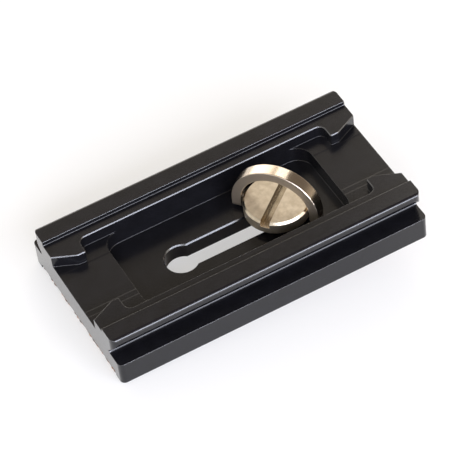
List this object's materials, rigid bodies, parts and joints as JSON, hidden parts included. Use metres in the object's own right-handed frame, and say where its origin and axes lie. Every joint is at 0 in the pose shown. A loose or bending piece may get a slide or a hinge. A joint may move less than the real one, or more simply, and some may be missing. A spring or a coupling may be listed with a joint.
{
  "type": "tripod quick release plate",
  "caption": "Dovetail camera plate with a keyhole slot, cork-rubber pad and captive camera screw with a coin slot and folding half ring handle.",
  "frame": {"origin": "middle of the pad's face, where the camera sits", "axes": "+X along the slot towards the end where the screw stands, +Y across the dovetail, +Z out of the dovetail side, away from the camera"},
  "size_m": [0.0762, 0.0422, 0.0227],
  "materials": {
    "anodised_aluminium": "black satin anodised",
    "cork_rubber": "bonded cork and rubber crumb, matte",
    "nylon": "matte",
    "nickel_plated_steel": "satin nickel plate",
    "nickel_plated_ring": "satin nickel plate",
    "pin_steel": "turned"
  },
  "bodies": {
    "plate_body": {"plate": "anodised_aluminium", "pad": "cork_rubber"},
    "washer_body": {"neck_washer": "nylon"},
    "screw_body": {"camera_screw": "nickel_plated_steel"},
    "ring_body": {"ring_handle": "nickel_plated_ring", "pivot_pin_1": "pin_steel", "pivot_pin_2": "pin_steel"}
  },
  "joints": [
    {"name": "screw_slide", "type": "slide", "parent": "plate_body", "child": "washer_body", "axis": [1, 0, 0], "range_m": [-0.0254, 0.0009]},
    {"name": "screw_turn", "type": "hinge", "parent": "washer_body", "child": "screw_body", "pos_m": [0.0123, 0, 0.00575], "axis": [0, 0, 1], "continuous": true},
    {"name": "ring_fold", "type": "hinge", "parent": "screw_body", "child": "ring_body", "pos_m": [0.0123, 0, 0.00735], "axis": [0.6361, -0.7716, 0], "range_deg": [-87.5, 92.5]}
  ]
}
